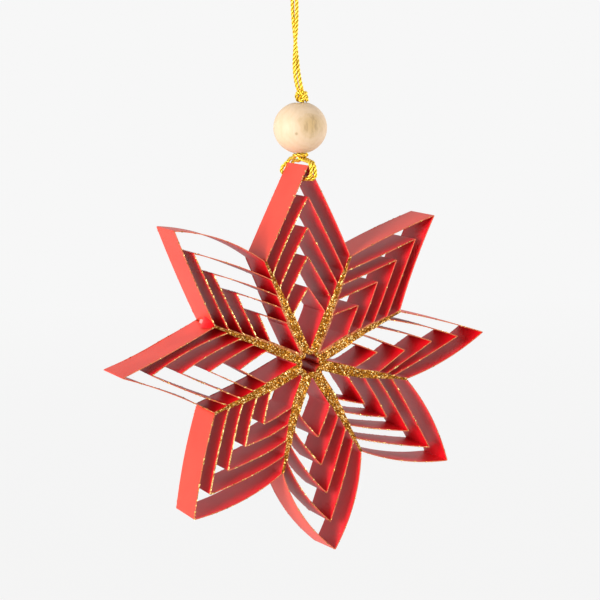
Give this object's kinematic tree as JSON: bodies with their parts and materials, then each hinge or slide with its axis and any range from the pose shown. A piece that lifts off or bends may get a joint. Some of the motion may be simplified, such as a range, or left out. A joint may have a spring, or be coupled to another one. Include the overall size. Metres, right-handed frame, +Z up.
{
  "type": "quilled snowflake ornament",
  "caption": "Hanging paper snowflake: petals of nested red card loops with glittered edges, a wooden bead and a twisted gold hanging cord.",
  "frame": {"origin": "inside top of the hanging loop, where a hook or twig carries it; x = 0 is the plumb line through it", "axes": "+Z up along the hanging cord, +X to the right seen from the glittered front, which faces -Y"},
  "size_m": [0.0997, 0.0173, 0.1626],
  "materials": {
    "red_card": "smooth semi-matte red card, a little lighter on its broad outer faces",
    "gold_cord": "three-ply twisted gold metallic thread",
    "pale_wood": "turned pale wood, unvarnished, fine grain",
    "gold_glitter": "gold glitter grains on the cut edges of the card"
  },
  "bodies": {
    "root": {"hanging_loop_cord": "gold_cord"},
    "hanger": {"cord_knot": "gold_cord", "hitch_cord": "gold_cord"},
    "bead": {"wooden_bead": "pale_wood"},
    "star": {"top_petal_loop_1": "red_card", "top_petal_loop_2": "red_card", "top_petal_loop_3": "red_card", "top_petal_loop_4": "red_card", "top_petal_loop_5": "red_card", "upper_right_petal_loop_1": "red_card", "upper_right_petal_loop_2": "red_card", "upper_right_petal_loop_3": "red_card", "upper_right_petal_loop_4": "red_card", "upper_right_petal_loop_5": "red_card", "right_petal_loop_1": "red_card", "right_petal_loop_2": "red_card", "right_petal_loop_3": "red_card", "right_petal_loop_4": "red_card", "right_petal_loop_5": "red_card", "lower_right_petal_loop_1": "red_card", "lower_right_petal_loop_2": "red_card", "lower_right_petal_loop_3": "red_card", "lower_right_petal_loop_4": "red_card", "lower_right_petal_loop_5": "red_card", "bottom_petal_loop_1": "red_card", "bottom_petal_loop_2": "red_card", "bottom_petal_loop_3": "red_card", "bottom_petal_loop_4": "red_card", "bottom_petal_loop_5": "red_card", "lower_left_petal_loop_1": "red_card", "lower_left_petal_loop_2": "red_card", "lower_left_petal_loop_3": "red_card", "lower_left_petal_loop_4": "red_card", "lower_left_petal_loop_5": "red_card", "left_petal_loop_1": "red_card", "left_petal_loop_2": "red_card", "left_petal_loop_3": "red_card", "left_petal_loop_4": "red_card", "left_petal_loop_5": "red_card", "upper_left_petal_loop_1": "red_card", "upper_left_petal_loop_2": "red_card", "upper_left_petal_loop_3": "red_card", "upper_left_petal_loop_4": "red_card", "upper_left_petal_loop_5": "red_card"}
  },
  "joints": [
    {"name": "star_turn", "type": "hinge", "parent": "root", "child": "hanger", "pos_m": [0, 0, -0.0431], "axis": [0, 0, 1], "range_deg": [-180, 180]},
    {"name": "bead_turn", "type": "hinge", "parent": "hanger", "child": "bead", "pos_m": [0.00086, 0, -0.0524], "axis": [0, 0, 1], "continuous": true},
    {"name": "star_swing", "type": "hinge", "parent": "hanger", "child": "star", "pos_m": [0.00006, 0, -0.06525], "axis": [0, 1, 0], "range_deg": [-45, 45]}
  ]
}
